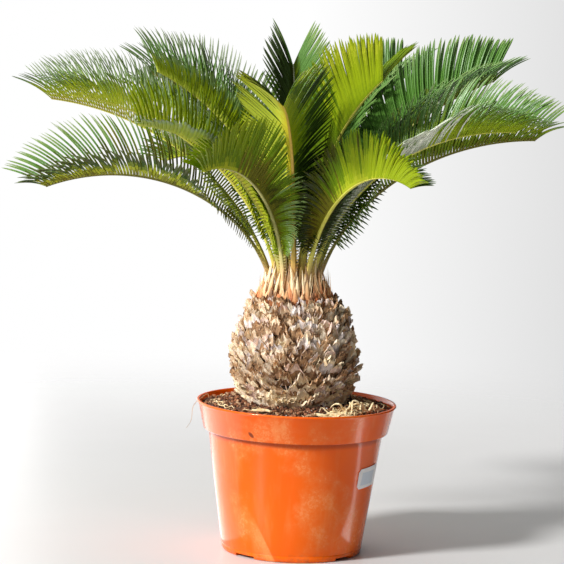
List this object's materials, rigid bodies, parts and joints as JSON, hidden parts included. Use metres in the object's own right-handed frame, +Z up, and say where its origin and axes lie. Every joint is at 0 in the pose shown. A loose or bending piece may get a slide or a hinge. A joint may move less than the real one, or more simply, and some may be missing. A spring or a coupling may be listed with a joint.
{
  "type": "potted sago palm",
  "caption": "Potted sago palm with a full crown of arching feather fronds, an egg-shaped trunk covered in old leaf bases, and a round orange plastic nursery pot filled with soil.",
  "frame": {"origin": "middle of the pot's flat underside", "axes": "+Z up; -Y is the side seen in the picture, +X to its right"},
  "size_m": [0.5518, 0.4863, 0.5281],
  "materials": {
    "pot_plastic": "glossy orange terracotta colour, lightly scuffed",
    "potting_mix": "damp dark brown bark and peat with pale grains",
    "leaf_bases": "dry matte grey-brown leaf bases",
    "bracts": "dry cream and tan bracts with woolly bases",
    "blank_label": "blank white coated paper",
    "dry_roots": "dry pale root fibre",
    "frond_green": "glossy green leaflets, yellow-green underneath, on yellow ribs"
  },
  "bodies": {
    "root": {"pot": "pot_plastic", "soil": "potting_mix", "caudex": "leaf_bases", "bract_ring": "bracts", "label": "blank_label", "surface_roots": "dry_roots", "frond_01_lower": "frond_green", "frond_01_upper": "frond_green", "frond_02_lower": "frond_green", "frond_02_upper": "frond_green", "frond_03_lower": "frond_green", "frond_03_upper": "frond_green", "frond_04_lower": "frond_green", "frond_04_upper": "frond_green", "frond_05_lower": "frond_green", "frond_05_upper": "frond_green", "frond_06_lower": "frond_green", "frond_06_upper": "frond_green", "frond_07_lower": "frond_green", "frond_07_upper": "frond_green", "frond_08_lower": "frond_green", "frond_08_upper": "frond_green", "frond_09": "frond_green", "frond_10": "frond_green", "frond_11_lower": "frond_green", "frond_11_upper": "frond_green", "frond_12_lower": "frond_green", "frond_12_upper": "frond_green", "frond_13_lower": "frond_green", "frond_13_upper": "frond_green", "frond_14_lower": "frond_green", "frond_14_upper": "frond_green", "frond_15_lower": "frond_green", "frond_15_upper": "frond_green", "frond_16_lower": "frond_green", "frond_16_upper": "frond_green", "frond_17_lower": "frond_green", "frond_17_upper": "frond_green", "frond_18_lower": "frond_green", "frond_18_upper": "frond_green", "frond_19_lower": "frond_green", "frond_19_upper": "frond_green", "frond_20_lower": "frond_green", "frond_20_upper": "frond_green", "frond_21_lower": "frond_green", "frond_21_upper": "frond_green", "frond_22_lower": "frond_green", "frond_22_upper": "frond_green"}
  },
  "joints": []
}
